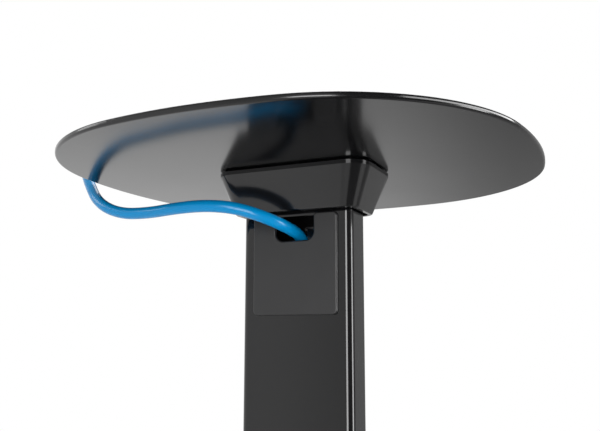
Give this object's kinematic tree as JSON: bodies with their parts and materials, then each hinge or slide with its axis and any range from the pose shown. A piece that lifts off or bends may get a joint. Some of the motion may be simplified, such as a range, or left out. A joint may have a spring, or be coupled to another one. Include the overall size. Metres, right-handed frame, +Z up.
{
  "type": "speaker stand",
  "caption": "Loudspeaker stand: rounded-square top plate on a flat post with tapered collars, notched cable covers, a blue lead through the post, and a base plate on levelling feet.",
  "frame": {"origin": "on the floor, under the middle of the post", "axes": "+X along the post's wide face, to the right seen from the cable cover's side; +Y from the cover's side to the back; +Z up"},
  "size_m": [0.3084, 0.3, 0.6416],
  "materials": {
    "plate_lacquer": "semi-gloss black powder coat, slightly reflective",
    "post_lacquer": "satin black lacquer",
    "cast_metal": "matt black coat on a die casting",
    "collar_plastic": "satin black moulded plastic",
    "cover_plastic": "fine-grained black moulded plastic",
    "pad_rubber": "matt black rubber",
    "foot_rubber": "matt black rubber",
    "black_screws": "black oxide steel",
    "black_nuts": "black coated knurled steel",
    "zinc_steel": "bright zinc plated steel",
    "lead_jacket": "glossy blue cable jacket",
    "boot_plastic": "soft blue moulded plastic",
    "plug_clear": "clear moulded polycarbonate",
    "contact_gilt": "gold-plated contact blades",
    "tie_plastic": "black strap"
  },
  "bodies": {
    "stand": {"top_plate": "plate_lacquer", "base_plate": "plate_lacquer", "post": "post_lacquer", "head_bracket": "cast_metal", "foot_bracket": "cast_metal", "upper_collar": "collar_plastic", "lower_collar": "collar_plastic", "top_pads": "pad_rubber", "plate_screws": "black_screws", "base_screws": "black_screws", "post_top_screws": "zinc_steel", "post_bottom_screws": "zinc_steel", "lock_nuts": "black_nuts", "lead_upper": "lead_jacket", "lead_inside": "lead_jacket", "lead_lower": "lead_jacket", "lead_coil": "lead_jacket", "lead_tail": "lead_jacket", "coil_tie": "tie_plastic", "upper_plug": "plug_clear", "upper_plug_boot": "boot_plastic", "upper_plug_contacts": "contact_gilt", "lower_plug": "plug_clear", "lower_plug_boot": "boot_plastic", "lower_plug_contacts": "contact_gilt"},
    "upper_cover": {"upper_cable_cover": "cover_plastic"},
    "lower_cover": {"lower_cable_cover": "cover_plastic"},
    "foot_back_right": {"foot_pad_back_right": "foot_rubber", "foot_stud_back_right": "zinc_steel"},
    "foot_back_left": {"foot_pad_back_left": "foot_rubber", "foot_stud_back_left": "zinc_steel"},
    "foot_front_left": {"foot_pad_front_left": "foot_rubber", "foot_stud_front_left": "zinc_steel"},
    "foot_front_right": {"foot_pad_front_right": "foot_rubber", "foot_stud_front_right": "zinc_steel"}
  },
  "joints": [
    {"name": "upper_cover_pull", "type": "slide", "parent": "stand", "child": "upper_cover", "axis": [0, -1, 0], "range_m": [0, 0.006]},
    {"name": "lower_cover_pull", "type": "slide", "parent": "stand", "child": "lower_cover", "axis": [0, -1, 0], "range_m": [0, 0.006]},
    {"name": "foot_level_back_right", "type": "slide", "parent": "stand", "child": "foot_back_right", "axis": [0, 0, -1], "range_m": [0, 0.006]},
    {"name": "foot_level_back_left", "type": "slide", "parent": "stand", "child": "foot_back_left", "axis": [0, 0, -1], "range_m": [0, 0.006]},
    {"name": "foot_level_front_left", "type": "slide", "parent": "stand", "child": "foot_front_left", "axis": [0, 0, -1], "range_m": [0, 0.006]},
    {"name": "foot_level_front_right", "type": "slide", "parent": "stand", "child": "foot_front_right", "axis": [0, 0, -1], "range_m": [0, 0.006]}
  ]
}
